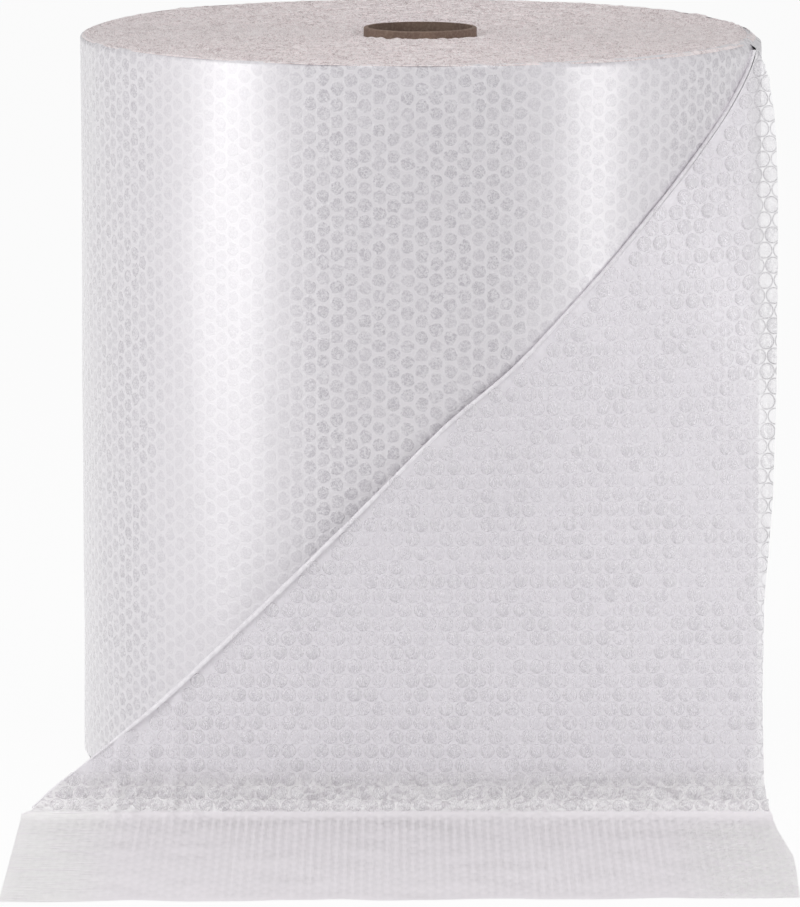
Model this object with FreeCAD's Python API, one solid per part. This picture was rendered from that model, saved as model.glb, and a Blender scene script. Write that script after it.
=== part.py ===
import FreeCAD, Part

import math
import os

# Bubble wrap roll standing on its end, with its loose end folded down over the
# front and out along the floor. Millimetres, +Z up. The origin is on the axis
# of the roll, at the level of the floor. The viewer stands on the -Y side.
#
# The roll is one continuous web of bubble film on a cardboard core. The web is
# a flat film with rows of air bubbles on one face. The rows run across the web,
# so they stand upright on the roll. The bubble face is wound inwards and the
# flat film shows on the roll. The last turn comes round the right-hand side,
# leaves the roll at the front and is folded along a slanting line, so that
# behind the fold it runs sideways and in front of it hangs straight down, with
# its bubbles facing the viewer. At the floor it bends forward and lies flat.

# Core tube
CORE_OUTER_RADIUS = 39.0
CORE_WALL = 3.0
CORE_PROUD = 4.0
CORE_EDGE_BREAK = 0.6

# Web of bubble film
WEB_WIDTH = 500.0
WEB_THICKNESS = 4.0
FILM_THICKNESS = 1.0
BUBBLE_PITCH = 11.0
ROW_PITCH = BUBBLE_PITCH * math.sqrt(3.0) / 2.0

# Wound roll
ROLL_RADIUS = 235.0
WINDING_CLEARANCE = 0.3
COLUMN_BULGE = 0.7
SHOWN_TURNS = 5
TURN_STEPS = 36
TURN_GAP = 2.5
TURN_GAP_DEPTH = 2.0
TURN_MARGIN = 8.0
LAST_TURN_ANGLE = 100.0

# Fold between the last turn and the hanging part
# Fold line: heights and how far out it stands there, from the floor to the top right
FOLD_TOP_X = 231.0
FOLD_LINE = ((12.0, -253.0), (30.0, -228.0), (75.0, -172.0), (150.0, -93.0), (205.0, -38.0), (262.0, 18.0),
             (300.0, 66.0), (360.0, 124.0), (420.0, 178.0), (460.0, 211.0), (492.0, FOLD_TOP_X))
FOLD_RADIUS = 5.0
FOLD_TIP_RADIUS = 3.0
FOLD_CREASE = 0.3

# Hanging part and the part on the floor
HANG_SEAT = 4.5
HANG_Y = -ROLL_RADIUS - HANG_SEAT
HANG_STRAIGHT = 60.0
BUBBLE_SHOULDER = 2.4
FLOOR_BEND_RADIUS = 25.0
FLOOR_REACH = 517.0
LEFT_FOOT_X = -262.0
LEFT_FRONT_X = -266.0
RIGHT_FOOT_X = 228.0
RIGHT_FRONT_X = 238.0
# Right-hand cut edge of the web: heights and how far out it stands there
RIGHT_EDGE = ((0.0, RIGHT_FOOT_X), (77.0, 227.0), (143.0, 228.0), (208.0, 234.0), (273.0, 237.0),
              (337.0, 239.0), (400.0, 241.0), (431.0, 241.0), (453.0, 240.0), (475.0, 237.0), (492.0, FOLD_TOP_X))
CUT_SLANT = 6.0
CUT_WAVE = 1.5
CUT_WAVE_COUNT = 9
CORNER_RADIUS = 8.0

# Overlap that makes two stretches of the same web one solid
BLEND = 0.5
# Blanks for trimming run this far past the web
MARGIN = 20.0

# Places where the curved stretches are shaped
TURN_STATIONS = (0.0, 125.0, 262.0, 310.0, 360.0, 410.0, 455.0, WEB_WIDTH)
HANG_STATIONS = (LEFT_FOOT_X - MARGIN, 0.0, 63.0, 120.0, 167.0, 204.0, FOLD_TOP_X, 242.0 + MARGIN)
TURN_FACETS = 20
FOLD_SIDES = 12


def vec(x, y, z):
    return FreeCAD.Vector(x, y, z)


def polar(radius, angle, z=0.0):
    """A point at an angle counted from the front of the roll towards its right side."""
    return vec(radius * math.sin(angle), -radius * math.cos(angle), z)


def line(start, end):
    return Part.LineSegment(start, end).toShape()


def curve(points):
    spline = Part.BSplineCurve()
    spline.interpolate(points)
    return spline.toShape()


def panels(a, b, c, d):
    """One flat panel through four points, or two where they do not lie in a plane."""
    across = (b - a).cross(d - a)
    if abs(across.normalize().dot(c - a)) < 1e-7:
        return [Part.Face(Part.makePolygon([a, b, c, d, a]))]
    return [Part.Face(Part.makePolygon([a, b, c, a])), Part.Face(Part.makePolygon([a, c, d, a]))]


def skin(sections):
    """Solid through a row of closed sections that have the same number of points."""
    faces = [Part.Face(Part.makePolygon(section + section[:1])) for section in (sections[0], sections[-1])]
    for one, other in zip(sections, sections[1:]):
        count = len(one)
        for k in range(count):
            after = (k + 1) % count
            faces += panels(one[k], one[after], other[after], other[k])
    shell = Part.makeShell(faces)
    shell.sewShape()
    solid = Part.Solid(shell)
    if solid.Volume < 0.0:
        solid.reverse()
    return solid


def core_tube():
    """Spiral-wound cardboard tube that stands a little proud of the wound web."""
    height = WEB_WIDTH + CORE_PROUD
    outer = Part.makeCylinder(CORE_OUTER_RADIUS, height)
    rims = [edge for edge in outer.Edges if isinstance(edge.Curve, Part.Circle)]
    outer = outer.makeChamfer(CORE_EDGE_BREAK, rims)
    return outer.cut(Part.makeCylinder(CORE_OUTER_RADIUS - CORE_WALL, height)).Solids[0]


def column_angles():
    """Edges of the upright bubble columns once round the roll, from where the last turn begins."""
    count = round(2.0 * math.pi * ROLL_RADIUS / ROW_PITCH)
    first = math.radians(LAST_TURN_ANGLE)
    return [first - 2.0 * math.pi * k / count for k in range(count + 1)]


def turn_radius(angle):
    """Radius of the wound turns: it grows by one web thickness in a full turn."""
    share = (math.radians(LAST_TURN_ANGLE) - angle) / (2.0 * math.pi)
    return ROLL_RADIUS - WEB_THICKNESS * (1.0 - share)


def roll_outline():
    """Outer turn seen from above: one shallow bulge of film over each bubble column."""
    angles = column_angles()
    points = [polar(turn_radius(angles[0]) - COLUMN_BULGE, angles[0])]
    for a, b in zip(angles, angles[1:]):
        middle = (a + b) / 2.0
        points += [polar(turn_radius(middle), middle), polar(turn_radius(b) - COLUMN_BULGE, b)]
    return Part.makePolygon(points + points[:1])


def spiral_gap(z):
    """The dark line between turns on an end face."""
    inner = CORE_OUTER_RADIUS + TURN_MARGIN
    outer = ROLL_RADIUS - WEB_THICKNESS - TURN_MARGIN - TURN_GAP
    steps = SHOWN_TURNS * TURN_STEPS
    inside, outside = [], []
    for k in range(steps + 1):
        angle = -2.0 * math.pi * k / TURN_STEPS
        radius = inner + (outer - inner) * k / steps
        inside.append(polar(radius, angle, z))
        outside.append(polar(radius + TURN_GAP, angle, z))
    outside.reverse()
    return Part.Face(Part.makePolygon(inside + outside + inside[:1])).extrude(vec(0.0, 0.0, TURN_GAP_DEPTH))


def wound_roll():
    """All the turns that stay on the core."""
    bore = Part.makeCylinder(CORE_OUTER_RADIUS + WINDING_CLEARANCE, WEB_WIDTH)
    roll = Part.Face(roll_outline()).extrude(vec(0.0, 0.0, WEB_WIDTH)).cut(bore)
    roll = roll.cut(spiral_gap(WEB_WIDTH - TURN_GAP_DEPTH))
    return roll.cut(spiral_gap(0.0))


def ramp(table, value):
    """Straight-line reading of a table of (place, value)."""
    for (a, low), (b, high) in zip(table, table[1:]):
        if value <= b:
            return low + (high - low) * (value - a) / (b - a)
    return table[-1][1]


def fold_height(x):
    """Height of the fold above a place across the front."""
    return ramp([(across, z) for z, across in FOLD_LINE], x)


def setback(x, z):
    """How far the hanging part goes back on the right: its top lies on the roll, its foot hangs clear."""
    if x <= 0.0 or z <= HANG_STRAIGHT:
        return 0.0
    round_roll = -HANG_Y - math.sqrt(HANG_Y ** 2 - min(x, FOLD_TOP_X) ** 2)
    return round_roll * ((z - HANG_STRAIGHT) / (fold_height(x) - HANG_STRAIGHT)) ** 2


def fold_point(z):
    """A point on the fold line, in the flat film of the hanging part."""
    x = ramp(FOLD_LINE, z)
    return vec(x, HANG_Y + setback(x, z), z)


def bend_start():
    return WEB_WIDTH - FLOOR_BEND_RADIUS


def bend_end():
    return bend_start() + math.pi / 2.0 * FLOOR_BEND_RADIUS


def web_point(x, distance, lift):
    """A point on the loose end: from its top down and out over the floor, lifted off its flat film."""
    turned = min(1.0, max(0.0, (distance - bend_start()) / (bend_end() - bend_start()))) * math.pi / 2.0
    radius = FLOOR_BEND_RADIUS - lift
    y = HANG_Y - FLOOR_BEND_RADIUS + radius * math.cos(turned) - max(0.0, distance - bend_end())
    z = FLOOR_BEND_RADIUS - radius * math.sin(turned) + max(0.0, bend_start() - distance)
    return vec(x, y + setback(x, z), z)


def row_count():
    reach = FLOOR_REACH + MARGIN + HANG_Y - FLOOR_BEND_RADIUS
    return math.ceil((bend_end() + reach) / ROW_PITCH)


def hanging_profile(x):
    """Closed outline of the loose end at one place across it: a ridge for each row of bubbles."""
    rows = row_count()
    points = []
    for k in range(rows):
        points.append(web_point(x, k * ROW_PITCH, FILM_THICKNESS))
        points.append(web_point(x, k * ROW_PITCH + BUBBLE_SHOULDER, WEB_THICKNESS))
        points.append(web_point(x, (k + 1) * ROW_PITCH - BUBBLE_SHOULDER, WEB_THICKNESS))
    points.append(web_point(x, rows * ROW_PITCH, FILM_THICKNESS))
    points.append(web_point(x, rows * ROW_PITCH, 0.0))
    bend = [bend_end() + (bend_start() - bend_end()) * k / 4.0 for k in range(5)]
    upright = [bend_start() * (24 - k) / 25.0 for k in range(25)]
    return points + [web_point(x, distance, 0.0) for distance in bend + upright]


def behind_profile(x):
    """Outline of the space behind the hanging part at one place across it."""
    front = [web_point(x, bend_start() * k / 25.0, BLEND) for k in range(26)]
    far = ROLL_RADIUS + MARGIN
    return front + [vec(x, front[-1].y, -MARGIN), vec(x, far, -MARGIN), vec(x, far, front[0].z)]


def fold_corners(y):
    """Front view of the fold line, from its top down to its foot."""
    return [vec(x, y, z) for z, x in reversed(FOLD_LINE)]


def upright_outline():
    """Front view of the hanging part: slanting fold on the left, cut edge of the web on the right."""
    side = [vec(x, 0.0, z) for z, x in RIGHT_EDGE]
    corners = fold_corners(0.0) + [vec(LEFT_FOOT_X, 0.0, FOLD_LINE[0][0] / 3.0),
                                   vec(LEFT_FOOT_X, 0.0, -MARGIN),
                                   vec(RIGHT_FOOT_X, 0.0, -MARGIN),
                                   side[0]]
    return Part.Wire([line(a, b) for a, b in zip(corners, corners[1:])] + [curve(side)])


def floor_outline():
    """Plan of the part on the floor: edges that spread a little and a gently waved, slightly slanting cut."""
    bend_y = HANG_Y - FLOOR_BEND_RADIUS
    back_left = vec(LEFT_FOOT_X, bend_y + MARGIN, 0.0)
    back_right = vec(RIGHT_FOOT_X, bend_y + MARGIN, 0.0)
    front_y = -FLOOR_REACH + CORNER_RADIUS
    slant = vec(0.0, CUT_SLANT, 0.0)
    left = [vec(LEFT_FOOT_X, bend_y, 0.0),
            vec(LEFT_FOOT_X + 0.7 * (LEFT_FRONT_X - LEFT_FOOT_X), bend_y - 50.0, 0.0),
            vec(LEFT_FRONT_X, front_y, 0.0) - slant]
    right = [vec(RIGHT_FRONT_X, front_y, 0.0) + slant,
             vec(RIGHT_FOOT_X + 0.8 * (RIGHT_FRONT_X - RIGHT_FOOT_X), bend_y - 90.0, 0.0),
             vec(RIGHT_FOOT_X, bend_y, 0.0)]
    first = vec(LEFT_FRONT_X + CORNER_RADIUS, -FLOOR_REACH, 0.0)
    width = RIGHT_FRONT_X - LEFT_FRONT_X - 2.0 * CORNER_RADIUS
    steps = 4 * CUT_WAVE_COUNT
    cut = []
    for k in range(steps + 1):
        ripple = CUT_WAVE * math.sin(math.pi * CUT_WAVE_COUNT * k / steps)
        cut.append(first + vec(width * k / steps, ripple, 0.0) + slant * (2.0 * k / steps - 1.0))
    left_side = Part.Wire([line(back_left, left[0]), curve(left)])
    right_side = Part.Wire([curve(right), line(right[-1], back_right), line(back_right, back_left)])
    front = Part.makePolygon([left[-1]] + cut + [right[0]])
    return Part.Wire(left_side.Edges + front.Edges + right_side.Edges)


def skin_across(profile):
    return skin([profile(x) for x in HANG_STATIONS])


def loose_end():
    """The hanging part and the part on the floor, cut to their outline."""
    bend_y = HANG_Y - FLOOR_BEND_RADIUS
    upright = Part.Face(upright_outline())
    upright.translate(vec(0.0, bend_y, 0.0))
    upright = upright.extrude(vec(0.0, FLOOR_BEND_RADIUS + ROLL_RADIUS, 0.0))
    flat = Part.Face(floor_outline())
    flat.translate(vec(0.0, 0.0, -MARGIN))
    flat = flat.extrude(vec(0.0, 0.0, 3.0 * MARGIN))
    wide = 4.0 * ROLL_RADIUS
    flat = flat.cut(Part.makeBox(wide, wide, 6.0 * MARGIN, vec(-wide / 2.0, bend_y, -2.0 * MARGIN)))
    return skin_across(hanging_profile).common(upright.fuse(flat)).removeSplitter()


def last_turn_profile(z):
    """Section of the last turn at one height: round the roll, then straight on past the fold."""
    fold = fold_point(z) + vec(0.0, FOLD_CREASE, 0.0)
    away = math.hypot(fold.x, fold.y)
    leave = math.atan2(fold.x, -fold.y) + math.acos(min(1.0, ROLL_RADIUS / away))
    start = math.radians(LAST_TURN_ANGLE)
    wound = ROLL_RADIUS * (start - leave)

    def point(distance, inset):
        angle = start - min(distance, wound) / ROLL_RADIUS
        free = max(0.0, distance - wound)
        return polar(ROLL_RADIUS - inset, angle, z) - vec(math.cos(leave), math.sin(leave), 0.0) * free

    foot = fold_point(0.0)
    low_leave = math.atan2(foot.x, -foot.y) + math.acos(ROLL_RADIUS / math.hypot(foot.x, foot.y))
    longest = ROLL_RADIUS * (start - low_leave) + math.sqrt(foot.x ** 2 + foot.y ** 2 - ROLL_RADIUS ** 2)
    columns = math.ceil((longest + MARGIN) / ROW_PITCH)
    points = []
    for k in range(columns):
        points += [point(k * ROW_PITCH, COLUMN_BULGE), point((k + 0.5) * ROW_PITCH, 0.0)]
    points.append(point(columns * ROW_PITCH, COLUMN_BULGE))
    points.append(point(columns * ROW_PITCH, WEB_THICKNESS))
    rooted = WEB_THICKNESS + 3.0 * COLUMN_BULGE
    return points + [point(wound * (TURN_FACETS - k) / TURN_FACETS, rooted) for k in range(TURN_FACETS + 1)]


def last_turn():
    """The stretch of web between the wound turns and the fold."""
    turn = skin([last_turn_profile(z) for z in TURN_STATIONS])
    far = ROLL_RADIUS + MARGIN
    fold = fold_corners(-far)
    floor = [vec(fold[-1].x, -far, 0.0), vec(far, -far, 0.0), vec(far, -far, WEB_WIDTH),
             vec(FOLD_TOP_X, -far, WEB_WIDTH)]
    below = Part.Face(Part.makePolygon(fold + floor + fold[:1]))
    keep = skin_across(behind_profile).common(below.extrude(vec(0.0, 2.0 * far, 0.0)))
    return turn.common(keep)


def fold_nose():
    """Rounded edge where the last turn folds over and starts to hang down."""
    low, high = FOLD_LINE[0][0], FOLD_LINE[-1][0]
    rings = []
    for z, x in FOLD_LINE:
        radius = FOLD_RADIUS + (FOLD_TIP_RADIUS - FOLD_RADIUS) * max(0.0, x / FOLD_TOP_X)
        ahead = fold_point(min(high, z + 1.0)) - fold_point(max(low, z - 1.0))
        outward = ahead.cross(vec(0.0, 1.0, 0.0)).normalize()
        across = ahead.cross(outward).normalize()
        ring = []
        for n in range(FOLD_SIDES):
            angle = 2.0 * math.pi * n / FOLD_SIDES
            ring.append(fold_point(z) + outward * (radius * math.cos(angle))
                        + across * (radius * math.sin(angle)))
        rings.append(ring)
    return skin(rings)


def bubble_wrap():
    """The whole web as one solid: wound turns, last turn, fold and loose end."""
    web = wound_roll()
    for stretch in (last_turn(), loose_end(), fold_nose()):
        web = web.fuse(stretch)
    return web.removeSplitter().Solids[0]


def main():
    os.makedirs("parts", exist_ok=True)
    for name, make in (("core_tube", core_tube), ("bubble_wrap", bubble_wrap)):
        shape = make()
        shape.exportStep("parts/" + name + ".step")


main()
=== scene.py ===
import math
import random

import bpy
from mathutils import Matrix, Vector, noise


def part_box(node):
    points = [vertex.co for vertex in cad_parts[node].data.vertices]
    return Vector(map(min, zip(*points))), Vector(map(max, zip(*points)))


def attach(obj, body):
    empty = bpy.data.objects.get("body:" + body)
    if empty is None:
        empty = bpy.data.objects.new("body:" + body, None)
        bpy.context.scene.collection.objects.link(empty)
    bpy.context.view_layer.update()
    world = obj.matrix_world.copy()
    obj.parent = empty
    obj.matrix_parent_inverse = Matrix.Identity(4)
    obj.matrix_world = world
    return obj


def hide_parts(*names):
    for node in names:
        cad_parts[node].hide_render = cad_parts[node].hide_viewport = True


# Bubble wrap roll: the look of the film, the cardboard core, the light and the
# camera. Metres, in the frame of the solids: +Z up, the viewer on the -Y side.

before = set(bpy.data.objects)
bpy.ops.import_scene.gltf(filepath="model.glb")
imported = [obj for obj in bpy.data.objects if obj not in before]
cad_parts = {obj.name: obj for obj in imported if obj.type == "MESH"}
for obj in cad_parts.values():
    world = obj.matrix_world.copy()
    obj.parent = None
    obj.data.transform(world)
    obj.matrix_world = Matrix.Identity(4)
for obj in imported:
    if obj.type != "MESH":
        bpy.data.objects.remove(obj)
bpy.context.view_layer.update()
WRAP_LOW, WRAP_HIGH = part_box("bubble_wrap")
CORE_LOW, CORE_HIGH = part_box("core_tube")
RNG = random.Random(7)

# Web of bubble film
WEB_WIDTH = WRAP_HIGH.z
WEB_THICKNESS = 0.004
BUBBLE_PITCH = 0.011
ROW_PITCH = BUBBLE_PITCH * math.sqrt(3.0) / 2.0
BUBBLE_RADIUS = 0.0050
BUBBLE_HEIGHT = 0.0036

# Wound roll
ROLL_RADIUS = 0.235
CORE_RADIUS = CORE_HIGH.x
TURN_PITCH = 0.0017
TURN_STEP = 0.0015
LAST_TURN_ANGLE = math.radians(100.0)

# Fold, hanging part and floor part, as in the solids
FOLD_TOP_X = 0.231
FOLD_LINE = ((0.004, -0.259), (0.0104, -0.2521), (0.0213, -0.2400), (0.0321, -0.2257), (0.075, -0.172), (0.150, -0.093),
             (0.205, -0.038), (0.262, 0.018), (0.300, 0.066), (0.360, 0.124), (0.420, 0.178), (0.460, 0.211),
             (0.492, FOLD_TOP_X))
FOLD_FOOT_HEIGHT = FOLD_LINE[0][0]
FOLD_TOP_HEIGHT = FOLD_LINE[-1][0]
FOLD_HEIGHTS = tuple((x, z) for z, x in FOLD_LINE)
HANG_Y = -ROLL_RADIUS - 0.0045
HANG_STRAIGHT = 0.060
FLOOR_BEND_RADIUS = 0.025
FLOOR_REACH = 0.517
CUT_SLANT = 0.006
LEFT_FOOT_X = -0.2655
LEFT_FRONT_X = -0.266
RIGHT_FLOOR = ((0.0, 0.2335), (0.16, 0.2346), (0.33, 0.2377), (0.50, 0.2406), (0.67, 0.2403), (1.0, 0.238))
RIGHT_EDGE = ((0.0, 0.2335), (0.010, 0.2303), (0.022, 0.2285), (0.077, 0.227), (0.143, 0.228), (0.208, 0.234), (0.273, 0.237),
              (0.337, 0.239), (0.400, 0.241), (0.431, 0.241), (0.453, 0.240), (0.475, 0.237),
              (FOLD_TOP_HEIGHT, FOLD_TOP_X))
CUT_WAVE = 0.0015
CUT_WAVE_COUNT = 9


def smooth_step(value, low, high):
    share = min(1.0, max(0.0, (value - low) / (high - low)))
    return share * share * (3.0 - 2.0 * share)


def ramp(table, value):
    """Straight-line reading of a short table of (key, value)."""
    if value <= table[0][0]:
        return table[0][1]
    for (a, low), (b, high) in zip(table, table[1:]):
        if value <= b:
            return low + (high - low) * (value - a) / (b - a)
    return table[-1][1]


def polar(radius, angle, z):
    """A point at an angle counted from the front of the roll towards its right side."""
    return Vector((radius * math.sin(angle), -radius * math.cos(angle), z))


def turn_radius(angle):
    """Radius of the outer turn at an angle from the last turn's start, the way the web winds in."""
    return ROLL_RADIUS - TURN_STEP * (angle - LAST_TURN_ANGLE) / (2.0 * math.pi)


def back_rise(angle):
    """The wound turns stand a little higher at the back of the top end."""
    return 0.0025 * smooth_step(-math.cos(angle), 0.15, 0.75)


def rim_inset(angle, edge):
    """How far the film draws in at this distance from the roll's end: a soft rim, rounder on the right."""
    rim = 0.003 + 0.005 * max(0.0, math.sin(angle))
    if edge >= rim:
        return 0.0
    return rim - math.sqrt(rim * rim - (rim - edge) ** 2)


def setback(x, z):
    """How far the hanging part goes back on the right: its top lies on the roll, its foot hangs clear."""
    if x <= 0.0 or z <= HANG_STRAIGHT:
        return 0.0
    seat = -HANG_Y - ROLL_RADIUS - 0.0036 * smooth_step(x, 0.02, 0.10)
    round_roll = -HANG_Y - math.sqrt((ROLL_RADIUS + seat) ** 2 - min(x, FOLD_TOP_X) ** 2)
    share = min(1.0, (z - HANG_STRAIGHT) / (ramp(FOLD_HEIGHTS, x) - HANG_STRAIGHT)) ** 2
    return round_roll * share


def fold_x(z):
    """The fold line, with its corners rounded off."""
    step = 0.004 * smooth_step(z, 0.0, 0.08)
    return sum(ramp(FOLD_LINE, z + step * k) for k in range(-3, 4)) / 7.0


def fold_point(z):
    x = fold_x(z)
    return Vector((x, HANG_Y + setback(x, z), z))


STRAIGHT = WEB_WIDTH - FLOOR_BEND_RADIUS
BEND = math.pi / 2.0 * FLOOR_BEND_RADIUS
BEND_END = STRAIGHT + BEND
CUT_DISTANCE = BEND_END + FLOOR_REACH + HANG_Y - FLOOR_BEND_RADIUS


def web_point(x, distance, lift=0.0):
    """A point on the loose end, from its top down and out over the floor, lifted off its flat film."""
    turned = min(1.0, max(0.0, (distance - STRAIGHT) / BEND)) * math.pi / 2.0
    radius = FLOOR_BEND_RADIUS - lift
    y = HANG_Y - FLOOR_BEND_RADIUS + radius * math.cos(turned) - max(0.0, distance - BEND_END)
    z = FLOOR_BEND_RADIUS - radius * math.sin(turned) + max(0.0, STRAIGHT - distance)
    return Vector((x, y + setback(x, z), z))


def edges(distance):
    """Left and right edge of the loose end at one distance along it."""
    z = web_point(0.0, distance).z
    if distance <= BEND_END and z >= FOLD_FOOT_HEIGHT:
        return fold_x(z), ramp(RIGHT_EDGE, z)
    out = min(1.0, max(0.0, (distance - BEND_END + 0.006) / (CUT_DISTANCE - BEND_END)))
    return LEFT_FOOT_X + (LEFT_FRONT_X - LEFT_FOOT_X) * out, ramp(RIGHT_FLOOR, out)


def mesh_piece(name, points, faces, uvs, material, node="bubble_wrap"):
    """A shaded mesh that rides on the body and stands for a solid. uvs has one (u, v) for each point."""
    mesh = bpy.data.meshes.new(name)
    mesh.from_pydata([tuple(p) for p in points], [], faces)
    layer = mesh.uv_layers.new(name="web")
    for loop in mesh.loops:
        layer.data[loop.index].uv = uvs[loop.vertex_index]
    mesh.polygons.foreach_set("use_smooth", [True] * len(mesh.polygons))
    mesh.update()
    piece = bpy.data.objects.new(name, mesh)
    bpy.context.scene.collection.objects.link(piece)
    mesh.materials.append(material)
    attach(piece, "root")
    if node:
        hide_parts(node)
    return piece


def grid_faces(rows, columns, closed=False):
    faces = []
    for r in range(rows - 1):
        for c in range(columns if closed else columns - 1):
            after = (c + 1) % columns
            faces.append((r * columns + c, r * columns + after, (r + 1) * columns + after, (r + 1) * columns + c))
    return faces


class Nodes:
    """Short way to write node materials."""

    def __init__(self, name):
        self.material = bpy.data.materials.new(name)
        self.material.use_nodes = True
        self.tree = self.material.node_tree
        self.tree.nodes.clear()

    def add(self, kind, **values):
        node = self.tree.nodes.new(kind)
        for key, value in values.items():
            setattr(node, key, value)
        return node

    def link(self, source, target):
        self.tree.links.new(source, target)

    def put(self, value, socket):
        if isinstance(value, bpy.types.NodeSocket):
            self.link(value, socket)
        elif value is not None:
            socket.default_value = value

    def math(self, operation, a, b=None, c=None, clamp=False):
        node = self.add("ShaderNodeMath", operation=operation, use_clamp=clamp)
        for value, socket in zip((a, b, c), node.inputs):
            self.put(value, socket)
        return node.outputs[0]

    def vector(self, operation, a, b=None, c=None):
        node = self.add("ShaderNodeVectorMath", operation=operation)
        for value, socket in zip((a, b, c), node.inputs):
            self.put(value, socket)
        return node.outputs["Value" if operation in ("LENGTH", "DOT_PRODUCT") else "Vector"]

    def map(self, value, low, high, to_low=0.0, to_high=1.0, smooth=True):
        node = self.add("ShaderNodeMapRange", interpolation_type="SMOOTHSTEP" if smooth else "LINEAR")
        for socket, given in zip(("Value", "From Min", "From Max", "To Min", "To Max"),
                                 (value, low, high, to_low, to_high)):
            self.put(given, node.inputs[socket])
        return node.outputs[0]

    def noise(self, vector, scale, detail=2.0, roughness=0.5, distortion=0.0):
        node = self.add("ShaderNodeTexNoise")
        self.put(vector, node.inputs["Vector"])
        for socket, value in zip(("Scale", "Detail", "Roughness", "Distortion"),
                                 (scale, detail, roughness, distortion)):
            node.inputs[socket].default_value = value
        return node.outputs["Fac"]

    def mix(self, factor, a, b):
        node = self.add("ShaderNodeMix", data_type="RGBA")
        self.put(factor, node.inputs[0])
        self.put(a, node.inputs[6])
        self.put(b, node.inputs[7])
        return node.outputs[2]

    def bump(self, height, distance, strength=1.0, normal=None):
        node = self.add("ShaderNodeBump")
        self.put(height, node.inputs["Height"])
        self.put(normal, node.inputs["Normal"])
        node.inputs["Distance"].default_value = distance
        node.inputs["Strength"].default_value = strength
        return node.outputs[0]

    def surface(self, **values):
        shader = self.add("ShaderNodeBsdfPrincipled")
        for key, value in values.items():
            self.put(value, shader.inputs[key.replace("_", " ")])
        self.link(shader.outputs[0], self.add("ShaderNodeOutputMaterial").inputs["Surface"])
        return self.material


def rgb(red, green, blue):
    """A colour given as it looks on screen, from 0 to 255."""
    linear = []
    for value in (red, green, blue):
        share = value / 255.0
        linear.append(share / 12.92 if share <= 0.04045 else ((share + 0.055) / 1.055) ** 2.4)
    return (*linear, 1.0)


def bubble_distance(nodes, uv):
    """Distance to the middle of the nearest bubble, and a vector that is the same all over one bubble."""
    period = (2.0 * ROW_PITCH, BUBBLE_PITCH, 1.0)
    half = tuple(-p / 2.0 for p in period)
    even = nodes.vector("WRAP", uv, tuple(p / 2.0 for p in period), half)
    moved = nodes.vector("ADD", uv, (ROW_PITCH, BUBBLE_PITCH / 2.0, 0.0))
    odd = nodes.vector("WRAP", moved, tuple(p / 2.0 for p in period), half)
    a, b = nodes.vector("LENGTH", even), nodes.vector("LENGTH", odd)
    nearest = nodes.math("MINIMUM", a, b)
    is_odd = nodes.math("LESS_THAN", b, a)
    centre_even = nodes.vector("SUBTRACT", uv, even)
    centre_odd = nodes.vector("SUBTRACT", moved, odd)
    pick = nodes.add("ShaderNodeMix", data_type="VECTOR")
    nodes.put(is_odd, pick.inputs[0])
    nodes.put(centre_even, pick.inputs[4])
    nodes.put(nodes.vector("ADD", centre_odd, (0.3, 0.7, 0.0)), pick.inputs[5])
    side = nodes.add("ShaderNodeMix", data_type="VECTOR")
    nodes.put(is_odd, side.inputs[0])
    nodes.put(even, side.inputs[4])
    nodes.put(odd, side.inputs[5])
    return nearest, pick.outputs[1], side.outputs[1]


def chance_of(nodes, cell):
    """A number from 0 to 1 that is the same all over one bubble."""
    chance = nodes.add("ShaderNodeTexWhiteNoise", noise_dimensions="3D")
    nodes.put(cell, chance.inputs["Vector"])
    return chance.outputs["Value"]


def crinkle(nodes, where, scale, width, detail=1.0, distortion=1.2):
    """Thin winding lines, as in crumpled film: 1 on a line, 0 away from it."""
    value = nodes.noise(where, scale, detail, 0.5, distortion)
    off = nodes.math("ABSOLUTE", nodes.math("SUBTRACT", value, 0.5))
    return nodes.map(off, width, width * 0.25)


def shadow_share(nodes, alpha, share):
    """Thin film lets most light through: it is this much thinner for light on its way to what lies behind."""
    path = nodes.add("ShaderNodeLightPath")
    passing = nodes.math("MAXIMUM", path.outputs["Is Shadow Ray"], path.outputs["Is Diffuse Ray"])
    return nodes.math("MULTIPLY", alpha, nodes.map(passing, 0.0, 1.0, 1.0, share, False), None, True)


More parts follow.
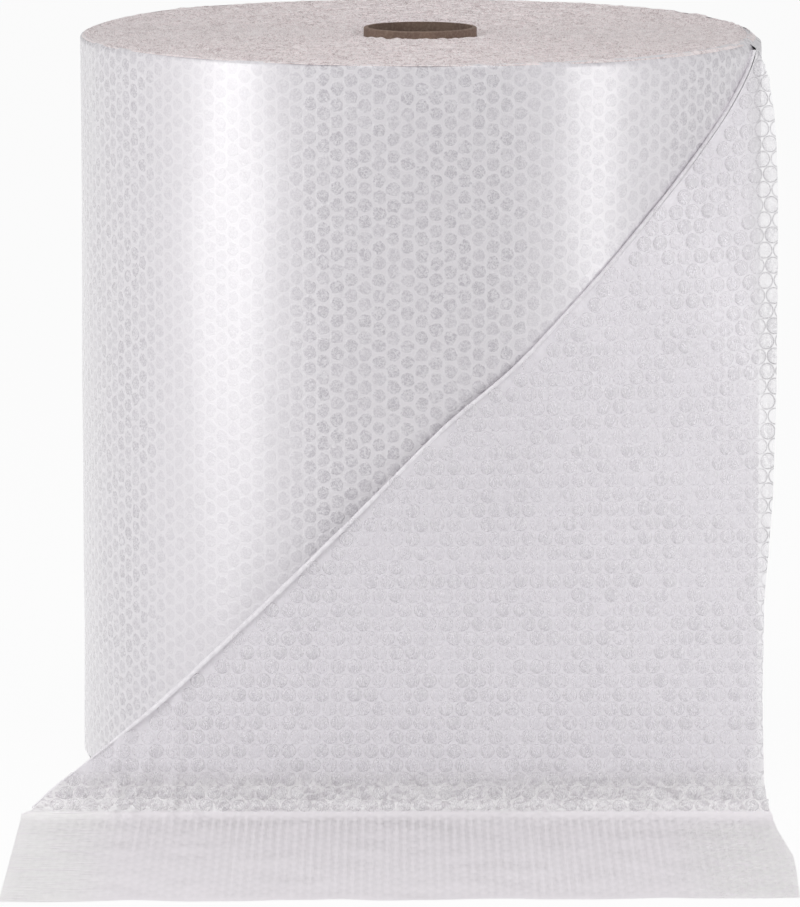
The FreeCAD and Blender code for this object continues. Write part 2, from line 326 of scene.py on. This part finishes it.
def wound_film():
    """Flat film over bubbles that are pressed against the turn below: darker discs, painted shade of puckers in thin
    dark strokes, and painted highlights in bright glints, all faded where the side lamps' highlight bands fall.
    """
    n = Nodes("wound_film")
    uv = n.add("ShaderNodeUVMap", uv_map="web").outputs[0]
    where = n.add("ShaderNodeTexCoord").outputs["Object"]
    distance, cell, _ = bubble_distance(n, uv)
    chance = chance_of(n, cell)
    warp = n.noise(where, 260.0, 1.0, 0.5, 0.0)
    distance = n.math("ADD", distance, n.map(warp, 0.0, 1.0, -0.0018, 0.0018, False))
    disc = n.map(distance, 0.0050, 0.0038)
    ring = n.math("MULTIPLY", n.map(distance, 0.0057, 0.0051), n.map(distance, 0.0043, 0.0051))
    place = n.add("ShaderNodeSeparateXYZ")
    n.put(where, place.inputs[0])
    x, y = place.outputs[0], place.outputs[1]
    # Painted light: the two upright strips on the front, x from -0.20 to -0.06 and, at 70 per cent, from 0.05 to 0.185,
    # are where the side lamps' highlight bands fall. loose drops as low as 0.35 there, which fades the darker discs,
    # the painted dark strokes, the painted glints and the bumps, as if the highlight washed them out.
    lit_bands = n.math("ADD", n.math("MULTIPLY", n.map(x, -0.200, -0.160), n.map(x, -0.060, -0.100)),
                   n.math("MULTIPLY", n.math("MULTIPLY", n.map(x, 0.050, 0.085), n.map(x, 0.185, 0.150)), 0.7))
    loose = n.map(n.math("MULTIPLY", lit_bands, n.map(y, 0.0, -0.05)), 0.0, 1.0, 1.0, 0.35, False)
    inside = n.math("MULTIPLY", n.math("MULTIPLY", disc, n.map(chance, 0.0, 1.0, 0.65, 1.0)), loose)
    # Painted shade: thin dark crinkle strokes inside the discs, standing for the shade in the film's puckers.
    dark = n.math("MULTIPLY", crinkle(n, where, 330.0, 0.16), inside)
    # Painted highlights: bright crinkle glints, mostly inside the discs, standing for the lamps' reflections in the
    # puckered film.
    shift = n.vector("ADD", where, (0.31, 0.17, 0.53))
    glint = n.math("MULTIPLY", crinkle(n, shift, 380.0, 0.12), n.math("ADD", n.math("MULTIPLY", inside, 0.85), 0.15))
    crease = n.noise(where, 420.0, 3.0, 0.6, 1.4)
    tone = n.mix(n.math("MULTIPLY", inside, 0.5), rgb(228, 224, 229), rgb(210, 205, 212))
    tone = n.mix(n.math("MULTIPLY", ring, 0.5), tone, rgb(238, 235, 239))
    # Painted shade: the dark strokes.
    tone = n.mix(n.math("MULTIPLY", dark, 0.5), tone, rgb(160, 154, 165))
    # Painted highlights: the bright glints.
    tone = n.mix(n.math("MULTIPLY", glint, 0.45), tone, rgb(248, 246, 249))
    height = n.math("ADD", n.math("MULTIPLY", disc, 0.25), n.math("MULTIPLY", crease, 0.55))
    height = n.math("MULTIPLY", n.math("ADD", height, n.math("MULTIPLY", glint, 0.2)), loose)
    return n.surface(Base_Color=tone, Roughness=n.map(inside, 0.0, 1.0, 0.34, 0.26), IOR=1.5,
                     Specular_IOR_Level=1.0, Coat_Weight=1.0, Coat_Roughness=0.30, Coat_IOR=1.8,
                     Normal=n.bump(height, 0.0012, 0.75))


def loose_film():
    """Film of the loose end: clear, with a thin dark line round each bubble, and milky where it lies flat."""
    n = Nodes("loose_film")
    uv = n.add("ShaderNodeUVMap", uv_map="web").outputs[0]
    where = n.add("ShaderNodeTexCoord").outputs["Object"]
    place = n.add("ShaderNodeSeparateXYZ")
    n.put(where, place.inputs[0])
    x, y, z = place.outputs
    lying = n.math("MULTIPLY", n.map(z, 0.020, 0.004), n.map(y, -0.235, -0.250))
    distance, _, _ = bubble_distance(n, uv)
    ring = n.math("MULTIPLY", n.map(distance, 0.0057, 0.0051), n.map(distance, 0.0043, 0.0049))
    hanging = n.math("SUBTRACT", 1.0, lying)
    # Painted shade: the dark line round each bubble is painted at full strength only where the film hangs clear of the
    # roll against the bright backdrop, and at 12 per cent in front of the roll.
    clear_of_roll = n.map(x, 0.222, 0.231, 0.12, 1.0)
    hanging_ring = n.math("MULTIPLY", n.math("MULTIPLY", ring, hanging), clear_of_roll)
    crease = n.noise(where, 240.0, 3.0, 0.55, 0.8)
    # Painted highlights on the part that lies on the floor: bright horizontal ripple lines on the left wing and bright
    # crinkle sparkle on the right wing, where the lamps reflect. The same marks also raise the bumps.
    stretched = n.vector("MULTIPLY", where, (0.14, 1.0, 1.0))
    ripple_line = crinkle(n, stretched, 230.0, 0.20, 2.0, 0.4)
    left_wing = n.map(x, -0.185, -0.235)
    right_wing = n.math("MULTIPLY", n.map(x, 0.150, 0.205), n.map(y, -0.255, -0.300))
    spark = crinkle(n, where, 170.0, 0.15)
    shine = n.math("MULTIPLY", n.math("ADD", n.math("MULTIPLY", ripple_line, left_wing),
                                      n.math("MULTIPLY", spark, right_wing)), lying, None, True)
    # Painted shade: the dark bubble outlines.
    tone = n.mix(hanging_ring, n.mix(lying, rgb(250, 246, 252), rgb(250, 245, 249)), rgb(150, 145, 152))
    tone = n.mix(n.math("MULTIPLY", crinkle(n, where, 300.0, 0.10), n.math("MULTIPLY", hanging, 0.3)),
                 tone, rgb(246, 244, 247))
    # Painted highlights: the wing ripples and sparkle.
    tone = n.mix(shine, tone, rgb(253, 251, 251))
    # Painted shade across the bend to the floor, where the sheet curls under: the film is darker there, with dark
    # crinkle strokes (shade) in it. The bright crinkle strokes there (fold) are painted highlights.
    bend = n.math("MULTIPLY", n.map(z, 0.0035, 0.0055), n.map(z, 0.034, 0.016))
    fold = crinkle(n, n.vector("MULTIPLY", where, (0.6, 1.0, 1.0)), 130.0, 0.13, 2.0, 1.5)
    shade = crinkle(n, n.vector("ADD", where, (0.3, 0.1, 0.2)), 150.0, 0.10, 2.0, 1.5)
    tone = n.mix(n.math("MULTIPLY", bend, 0.6), tone, rgb(224, 219, 223))
    tone = n.mix(n.math("MULTIPLY", n.math("MULTIPLY", shade, bend), 0.45), tone, rgb(178, 172, 176))
    tone = n.mix(n.math("MULTIPLY", n.math("MULTIPLY", fold, bend), 0.7), tone, rgb(254, 252, 253))
    # Painted light: the hanging film is more opaque in front of the roll (0.76) than clear of it (0.32), and up to 0.18
    # more opaque towards its foot, so its pale colour covers the darker roll and the shaded hollow behind it.
    alpha = n.math("ADD", n.math("MULTIPLY", hanging_ring, 0.35), n.map(lying, 0.0, 1.0, n.math("ADD", n.map(x, 0.214, 0.232, 0.76, 0.32),
                                                 n.map(z, 0.26, 0.04, 0.0, 0.18)), 0.96, False), None, True)
    height = n.math("ADD", n.math("MULTIPLY", crease, n.map(lying, 0.0, 1.0, 1.0, 0.15)), shine)
    return n.surface(Base_Color=tone, Roughness=0.3, IOR=1.5, Specular_IOR_Level=0.7,
                     Alpha=shadow_share(n, alpha, 0.15), Normal=n.bump(height, 0.0008, 0.5))


def fold_film():
    """Film doubled over itself along the fold: milky, with fine creases."""
    n = Nodes("fold_film")
    where = n.add("ShaderNodeTexCoord").outputs["Object"]
    crease = n.noise(where, 200.0, 2.0, 0.5, 0.8)
    return n.surface(Base_Color=n.mix(n.map(crease, 0.3, 0.7), rgb(232, 228, 233), rgb(246, 243, 247)),
                     Roughness=0.35, IOR=1.5, Specular_IOR_Level=0.7, Normal=n.bump(crease, 0.0006, 0.5))


def bubble_skin():
    """Thin clear domes: milky walls, painted shade in dark upright strokes and on the left side of each dome, painted
    highlights in bright upright strokes and on its right side, and clear tops with small dents.
    """
    n = Nodes("bubble_skin")
    uv = n.add("ShaderNodeUVMap", uv_map="web").outputs[0]
    where = n.add("ShaderNodeTexCoord").outputs["Object"]
    distance, cell, way = bubble_distance(n, uv)
    chance = chance_of(n, cell)
    apart = n.add("ShaderNodeSeparateXYZ")
    n.put(way, apart.inputs[0])
    left_right = n.math("DIVIDE", apart.outputs[1], n.math("MAXIMUM", distance, 0.0001))
    band = n.math("MULTIPLY", n.map(distance, 0.0022, 0.0032), n.map(distance, 0.0052, 0.0042))
    wall = n.map(distance, 0.0030, 0.0048)
    crease = n.noise(where, 330.0, 2.0, 0.6, 1.0)
    some = n.map(chance, 0.0, 1.0, 0.35, 0.85)
    upright = n.vector("MULTIPLY", where, (1.0, 1.0, 0.45))
    # Painted shade: dark upright strokes, and a dark band on the left side of each dome.
    dark = n.math("MULTIPLY", crinkle(n, upright, 260.0, 0.13), some)
    dark = n.math("MAXIMUM", dark, n.math("MULTIPLY", n.math("MULTIPLY", n.map(left_right, -0.55, -0.9), band), some))
    # Painted highlights: bright upright strokes, and a bright band on the right side of each dome.
    glint = n.math("MULTIPLY", crinkle(n, n.vector("ADD", upright, (0.2, 0.4, 0.1)), 300.0, 0.11), some)
    glint = n.math("MAXIMUM", glint, n.math("MULTIPLY", n.math("MULTIPLY", n.map(left_right, 0.55, 0.9), band), some))
    tone = n.mix(wall, rgb(222, 218, 224), rgb(236, 233, 237))
    tone = n.mix(n.math("MULTIPLY", dark, 0.55), tone, rgb(155, 150, 161))
    tone = n.mix(n.math("MULTIPLY", glint, 0.6), tone, rgb(252, 251, 252))
    alpha = n.math("ADD", n.math("MULTIPLY", wall, 0.06), 0.06)
    alpha = n.math("ADD", alpha, n.math("MULTIPLY", n.math("ADD", dark, glint), 0.35), None, True)
    return n.surface(Base_Color=tone, Roughness=0.2, IOR=1.5, Specular_IOR_Level=0.8,
                     Alpha=shadow_share(n, alpha, 0.15), Normal=n.bump(crease, 0.0012, 0.7))


def flat_bubble_skin():
    """The same domes where the web lies on the floor and the light fills them evenly."""
    n = Nodes("flat_bubble_skin")
    where = n.add("ShaderNodeTexCoord").outputs["Object"]
    crease = n.noise(where, 200.0, 2.0, 0.5, 0.5)
    tone = n.mix(n.map(crease, 0.35, 0.65), rgb(238, 234, 237), rgb(247, 243, 246))
    return n.surface(Base_Color=tone, Roughness=0.35, IOR=1.5, Specular_IOR_Level=0.6,
                     Alpha=shadow_share(n, n.map(crease, 0.3, 0.7, 0.004, 0.015), 0.15),
                     Normal=n.bump(crease, 0.0004, 0.3))


def end_film():
    """Cut edges of the wound turns, seen end on."""
    n = Nodes("end_film")
    where = n.add("ShaderNodeTexCoord").outputs["Object"]
    crease = n.noise(where, 260.0, 4.0, 0.65, 1.2)
    coarse = n.noise(where, 60.0, 3.0, 0.6, 0.5)
    # Painted highlights: bright sparkle on the cut edges, standing for glints of the lamps.
    glint = crinkle(n, where, 420.0, 0.07)
    tone = n.mix(n.map(crease, 0.40, 0.58), rgb(196, 179, 180), rgb(248, 234, 235))
    tone = n.mix(n.map(coarse, 0.42, 0.62, 0.0, 0.5), tone, rgb(246, 235, 236))
    tone = n.mix(n.math("MULTIPLY", glint, 0.8), tone, rgb(254, 249, 249))
    height = n.math("ADD", crease, coarse)
    return n.surface(Base_Color=tone, Roughness=0.35, IOR=1.5, Specular_IOR_Level=0.7,
                     Normal=n.bump(height, 0.002, 0.6))


def cardboard():
    """Spiral-wound brown board."""
    n = Nodes("cardboard_look")
    where = n.add("ShaderNodeTexCoord").outputs["Object"]
    fibre = n.noise(where, 500.0, 4.0, 0.7)
    cloud = n.noise(where, 40.0, 2.0, 0.5)
    tone = n.mix(n.map(cloud, 0.3, 0.7), rgb(106, 86, 76), rgb(130, 108, 94))
    tone = n.mix(n.map(fibre, 0.4, 0.7, 0.0, 0.4), tone, rgb(165, 147, 135))
    return n.surface(Base_Color=tone, Roughness=0.85, Normal=n.bump(fibre, 0.0004, 0.5))


LOOK_WOUND = wound_film()
LOOK_LOOSE = loose_film()
LOOK_FOLD = fold_film()
LOOK_BUBBLE = bubble_skin()
LOOK_FLAT_BUBBLE = flat_bubble_skin()
LOOK_END = end_film()
LOOK_CARD = cardboard()


def roll_side():
    """The outer turn, all the way round from the start of the last turn, with rounded rims."""
    columns, rows = 460, 72
    points, uvs = [], []
    for r in range(rows):
        share = r / (rows - 1)
        z = WEB_WIDTH * (0.5 - 0.5 * math.cos(math.pi * share)) if r not in (0, rows - 1) else WEB_WIDTH * share
        for c in range(columns + 1):
            angle = LAST_TURN_ANGLE + 2.0 * math.pi * c / columns
            radius = turn_radius(angle) - 0.0006 - rim_inset(angle, min(z, WEB_WIDTH - z))
            radius += 0.0008 * (noise.noise(Vector((6.0 * math.sin(angle), 6.0 * math.cos(angle), z * 9.0))))
            points.append(polar(radius, angle, z + back_rise(angle) * smooth_step(z, 0.40, 0.50)))
            uvs.append((ROLL_RADIUS * (angle - LAST_TURN_ANGLE), z))
    return mesh_piece("roll_side", points, grid_faces(rows, columns + 1), uvs, LOOK_WOUND)


def roll_end(name, z, up):
    """One end of the roll: the wound edges of the web, turn by turn."""
    turns = int((ROLL_RADIUS - 0.010 - CORE_RADIUS) / TURN_PITCH)
    inner = CORE_RADIUS + 0.0004
    columns = 270
    rows = 3 * turns + 1
    points, uvs = [], []
    for r in range(rows):
        for c in range(columns):
            angle = LAST_TURN_ANGLE + 2.0 * math.pi * c / columns
            rim = 0.003 + 0.005 * max(0.0, math.sin(angle))
            shoulder = turn_radius(angle) - 0.0006 - rim
            outer = shoulder + 0.75 * rim
            radius = inner + (outer - inner) * r / (rows - 1)
            drop = rim - math.sqrt(rim * rim - max(0.0, radius - shoulder) ** 2)
            turn = (radius - inner) / TURN_PITCH + c / columns
            at = Vector((9.0 * math.sin(angle), 9.0 * math.cos(angle), math.floor(turn) * 3.7))
            height = 0.0009 * noise.noise(at) - 0.0007 * (math.cos(2.0 * math.pi * turn) * 0.5 + 0.5)
            at = Vector((160.0 * radius * math.sin(angle), 160.0 * radius * math.cos(angle), 5.0))
            height += 0.0012 * noise.noise(at)
            edge = smooth_step(outer - radius, 0.0, 0.004) * smooth_step(radius - inner, 0.0, 0.004)
            rise = back_rise(angle) * smooth_step(radius, 0.10, 0.22) if up > 0 else 0.0
            dish = 0.0028 * smooth_step(inner + 0.012 - radius, 0.0, 0.012)
            points.append(polar(radius, angle, z + rise + up * (height * edge + 0.0002 - drop - dish)))
            uvs.append((turn * TURN_PITCH, radius * angle))
    faces = grid_faces(rows, columns, True)
    if up > 0:
        faces = [tuple(reversed(face)) for face in faces]
    return mesh_piece(name, points, faces, uvs, LOOK_END)


def last_turn_path(z, count):
    """The web between the wound turns and the fold at one height, as (point, distance back along it)."""
    fold = fold_point(min(z, FOLD_TOP_HEIGHT))
    away = math.hypot(fold.x, fold.y)
    leave = math.atan2(fold.x, -fold.y) + math.acos(min(1.0, ROLL_RADIUS / away))
    free = math.sqrt(max(0.0, away * away - ROLL_RADIUS * ROLL_RADIUS))
    start = LAST_TURN_ANGLE + 0.02
    wound = ROLL_RADIUS * (start - leave)
    total = wound + free
    path = []
    for c in range(count):
        s = total * c / (count - 1)
        if s <= wound:
            angle = start - s / ROLL_RADIUS
            path.append((polar(ROLL_RADIUS - rim_inset(angle, min(z, WEB_WIDTH - z)), angle, z), s))
        else:
            tangent = Vector((math.cos(leave), math.sin(leave), 0.0))
            inset = rim_inset(leave, min(z, WEB_WIDTH - z))
            path.append((polar(ROLL_RADIUS - inset, leave, z) - tangent * (s - wound), s))
    return path


def last_turn():
    columns, rows = 120, 90
    points, uvs = [], []
    for r in range(rows):
        z = WEB_WIDTH * r / (rows - 1)
        for point, s in last_turn_path(z, columns):
            points.append(point)
            uvs.append((ROLL_RADIUS * 0.02 - s, z))
    return mesh_piece("last_turn", points, grid_faces(rows, columns), uvs, LOOK_WOUND)


PLEATS = ((-0.2040, 0.10, 0.10), (-0.1925, 0.25, 0.07), (-0.1660, 0.05, 0.10), (-0.1500, -0.15, 0.05),
          (0.0800, -0.35, 0.06), (0.1520, 0.05, 0.09), (0.0550, 0.10, 0.05))


def ripple(x, distance):
    """How far the loose end stands off its plain shape: soft folds, and crinkles where it meets the floor."""
    near_bend = math.exp(-((distance - STRAIGHT - 0.008) / 0.016) ** 2)
    value = 0.0022 * near_bend * noise.noise(Vector((x * 70.0, distance * 90.0, 2.0)))
    value += 0.0015 * noise.noise(Vector((x * 9.0, distance * 9.0, 4.0)))
    height = max(0.0, WEB_WIDTH - distance)
    for foot, slant, top in PLEATS:
        if height < top:
            off = (x - foot - slant * height) / 0.0035
            value += 0.0020 * math.exp(-off * off) * smooth_step(top - height, 0.0, 0.03)
    return value * (1.0 - 0.75 * smooth_step(x, 0.02, 0.10) * smooth_step(height, 0.10, 0.25))


def loose_surface(x, distance, lift=0.0):
    on_floor = smooth_step(distance, BEND_END - 0.02, BEND_END + 0.02)
    extra = ripple(x, distance) * (1.0 - on_floor) + 0.0006 * on_floor * (
        1.0 + noise.noise(Vector((x * 30.0, distance * 30.0, 6.0))))
    return web_point(x, distance, lift + 0.0004 + extra)


def cut_wave(distance, share):
    """The cut end is a little wavy and slants: it reaches further on the left."""
    wave = CUT_WAVE * math.sin(math.pi * CUT_WAVE_COUNT * share) + CUT_SLANT * (1.0 - 2.0 * share)
    return wave * smooth_step(distance, BEND_END, CUT_DISTANCE)


def loose_end():
    columns, rows = 210, 200
    points, uvs = [], []
    for r in range(rows):
        distance = (WEB_WIDTH - FOLD_TOP_HEIGHT) + (CUT_DISTANCE - WEB_WIDTH + FOLD_TOP_HEIGHT) * r / (rows - 1)
        left, right = edges(distance)
        for c in range(columns):
            share = c / (columns - 1)
            x = left + (right - left) * share
            wave = cut_wave(distance, share)
            points.append(loose_surface(x, distance + wave))
            uvs.append((distance + wave, x))
    return mesh_piece("loose_end", points, grid_faces(rows, columns), uvs, LOOK_LOOSE)


DOME_SEGMENTS = 12
DOME_RINGS = ((1.0, 0.0), (0.93, 0.42), (0.72, 0.86), (0.36, 1.0))


def domes(name, first, last, material, step_segments=DOME_SEGMENTS):
    """Air bubbles of the loose end between two distances along it, one dome to each place in the rows."""
    points, faces, uvs = [], [], []
    row = math.ceil(first / ROW_PITCH)
    while row * ROW_PITCH < last:
        distance = row * ROW_PITCH
        shift = BUBBLE_PITCH / 2.0 if row % 2 else 0.0
        left, right = edges(distance)
        column = math.ceil((left - shift) / BUBBLE_PITCH)
        while column * BUBBLE_PITCH + shift < right:
            x = column * BUBBLE_PITCH + shift
            column += 1
            if x - left < 0.003:
                continue
            tall = BUBBLE_HEIGHT * RNG.uniform(0.82, 1.0)
            start = len(points)
            for scale, rise in DOME_RINGS:
                for k in range(step_segments):
                    angle = 2.0 * math.pi * k / step_segments
                    px = min(x + BUBBLE_RADIUS * scale * math.cos(angle), right)
                    pd = distance + BUBBLE_RADIUS * scale * math.sin(angle)
                    pd = min(pd, CUT_DISTANCE)
                    pd += cut_wave(pd, (px - left) / (right - left))
                    points.append(loose_surface(px, pd, tall * rise))
                    uvs.append((pd, px))
            pd = distance + cut_wave(distance, (x - left) / (right - left))
            points.append(loose_surface(min(x, right), pd, tall * RNG.uniform(0.75, 1.02)))
            uvs.append((distance, x))
            for ring in range(len(DOME_RINGS) - 1):
                for k in range(step_segments):
                    after = (k + 1) % step_segments
                    a, b = start + ring * step_segments, start + (ring + 1) * step_segments
                    faces.append((a + k, a + after, b + after, b + k))
            top = start + (len(DOME_RINGS) - 1) * step_segments
            for k in range(step_segments):
                faces.append((top + k, top + (k + 1) % step_segments, len(points) - 1))
        row += 1
    return mesh_piece(name, points, faces, uvs, material)


def fold_edge():
    """The web turning over at the fold."""
    rows, columns = 150, 13
    points, uvs = [], []
    low, high = FOLD_FOOT_HEIGHT, FOLD_TOP_HEIGHT
    for r in range(rows):
        z = low + (high - low) * r / (rows - 1)
        ahead = (fold_point(min(high, z + 0.002)) - fold_point(max(low, z - 0.002))).normalized()
        outward = ahead.cross(Vector((0.0, 1.0, 0.0))).normalized()
        if outward.x > 0.0:
            outward.negate()
        across = ahead.cross(outward).normalized()
        upper = smooth_step(z, 0.13, 0.26)
        radius = 0.0008 + 0.0016 * smooth_step(z, 0.03, 0.08) - 0.0005 * upper
        middle = fold_point(z)
        inward = Vector((-middle.x, -middle.y, 0.0)).normalized() * (0.0013 * upper)
        radius += 0.0003 * noise.noise(Vector((z * 90.0, 0.0, 9.0)))
        for c in range(columns):
            angle = math.pi * (c / (columns - 1) - 0.5) * 1.15
            points.append(middle + inward + outward * (radius * math.cos(angle)) + across * (radius * math.sin(angle)))
            uvs.append((WEB_WIDTH - z + radius * angle * 0.7, fold_x(z) + radius * angle * 0.7))
    return mesh_piece("fold_edge", points, grid_faces(rows, columns), uvs, LOOK_FOLD)


side = roll_side()
top = roll_end("roll_top", WEB_WIDTH, 1.0)
bottom = roll_end("roll_bottom", 0.0, -1.0)
turn = last_turn()
end = loose_end()
hanging = domes("bubbles_hanging", WEB_WIDTH - FOLD_TOP_HEIGHT, STRAIGHT + BEND * 0.75, LOOK_BUBBLE)
lying = domes("bubbles_floor", STRAIGHT + BEND * 0.75, CUT_DISTANCE - 0.002, LOOK_FLAT_BUBBLE)
nose = fold_edge()

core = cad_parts["core_tube"]
core.data.materials.clear()
core.data.materials.append(LOOK_CARD)


# Floor and light
floor_size = 6.0
mesh = bpy.data.meshes.new("floor")
mesh.from_pydata([(-floor_size, -floor_size, 0), (floor_size, -floor_size, 0),
                  (floor_size, floor_size, 0), (-floor_size, floor_size, 0)], [], [(0, 1, 2, 3)])
floor = bpy.data.objects.new("floor", mesh)
floor.location.z = -0.0006
bpy.context.scene.collection.objects.link(floor)
n = Nodes("pale_floor")
path = n.add("ShaderNodeLightPath")
seen = n.math("MAXIMUM", path.outputs["Is Camera Ray"],
              n.math("MAXIMUM", path.outputs["Is Glossy Ray"], path.outputs["Is Transmission Ray"]))
diffuse = n.add("ShaderNodeBsdfDiffuse")
diffuse.inputs["Color"].default_value = (0.85, 0.85, 0.85, 1.0)
glow = n.add("ShaderNodeEmission")
glow.inputs["Color"].default_value = (1.0, 1.0, 1.0, 1.0)
blend = n.add("ShaderNodeMixShader")
n.link(n.math("MULTIPLY", seen, 0.93), blend.inputs[0])
n.link(diffuse.outputs[0], blend.inputs[1])
n.link(glow.outputs[0], blend.inputs[2])
n.link(blend.outputs[0], n.add("ShaderNodeOutputMaterial").inputs["Surface"])
mesh.materials.append(n.material)

world = bpy.data.worlds.new("studio")
bpy.context.scene.world = world
world.use_nodes = True
tree = world.node_tree
tree.nodes.clear()
background = tree.nodes.new("ShaderNodeBackground")
background.inputs["Color"].default_value = (1.0, 1.0, 1.0, 1.0)
white = tree.nodes.new("ShaderNodeBackground")
white.inputs["Color"].default_value = (1.0, 1.0, 1.0, 1.0)
background.inputs["Strength"].default_value = 0.54
white.inputs["Strength"].default_value = 1.0
path = tree.nodes.new("ShaderNodeLightPath")
either = tree.nodes.new("ShaderNodeMath")
either.operation = "MAXIMUM"
tree.links.new(path.outputs["Is Camera Ray"], either.inputs[0])
tree.links.new(path.outputs["Is Transmission Ray"], either.inputs[1])
both = tree.nodes.new("ShaderNodeMixShader")
tree.links.new(either.outputs[0], both.inputs[0])
tree.links.new(background.outputs[0], both.inputs[1])
tree.links.new(white.outputs[0], both.inputs[2])
tree.links.new(both.outputs[0], tree.nodes.new("ShaderNodeOutputWorld").inputs["Surface"])


def softbox(name, azimuth, distance, height, width, tall, power):
    """A tall soft lamp that faces the roll, at an angle from the front towards the right."""
    light = bpy.data.lights.new(name, "AREA")
    light.shape = "RECTANGLE"
    light.size, light.size_y, light.energy = width, tall, power
    lamp = bpy.data.objects.new(name, light)
    angle = math.radians(azimuth)
    lamp.location = (distance * math.sin(angle), -distance * math.cos(angle), height)
    aim = Vector((0.0, 0.0, 0.25)) - lamp.location
    lamp.rotation_euler = aim.to_track_quat("-Z", "Y").to_euler()
    bpy.context.scene.collection.objects.link(lamp)


softbox("left_softbox", -62.0, 1.8, 0.5, 0.8, 1.6, 11.0)
softbox("right_softbox", 58.0, 1.8, 0.5, 0.4, 1.6, 7.5)
softbox("top_softbox", 0.0, 0.6, 2.4, 1.6, 1.2, 11.0)

# Camera: the photograph's distance, height and angle
IMAGE_HEIGHT = 907
FOCAL_PIXELS = 7279
camera_data = bpy.data.cameras.new("camera")
camera_data.sensor_width = 36.0
camera_data.lens = FOCAL_PIXELS / IMAGE_HEIGHT * 36.0
camera = bpy.data.objects.new("camera", camera_data)
camera.location = (-0.0139, -5.0, 0.962)
camera.rotation_euler = (math.radians(90.0 - 8.59), 0.0, 0.0)
camera_data.clip_end = 50.0
bpy.context.scene.collection.objects.link(camera)
bpy.context.scene.camera = camera

bpy.context.scene.view_settings.view_transform = "Standard"
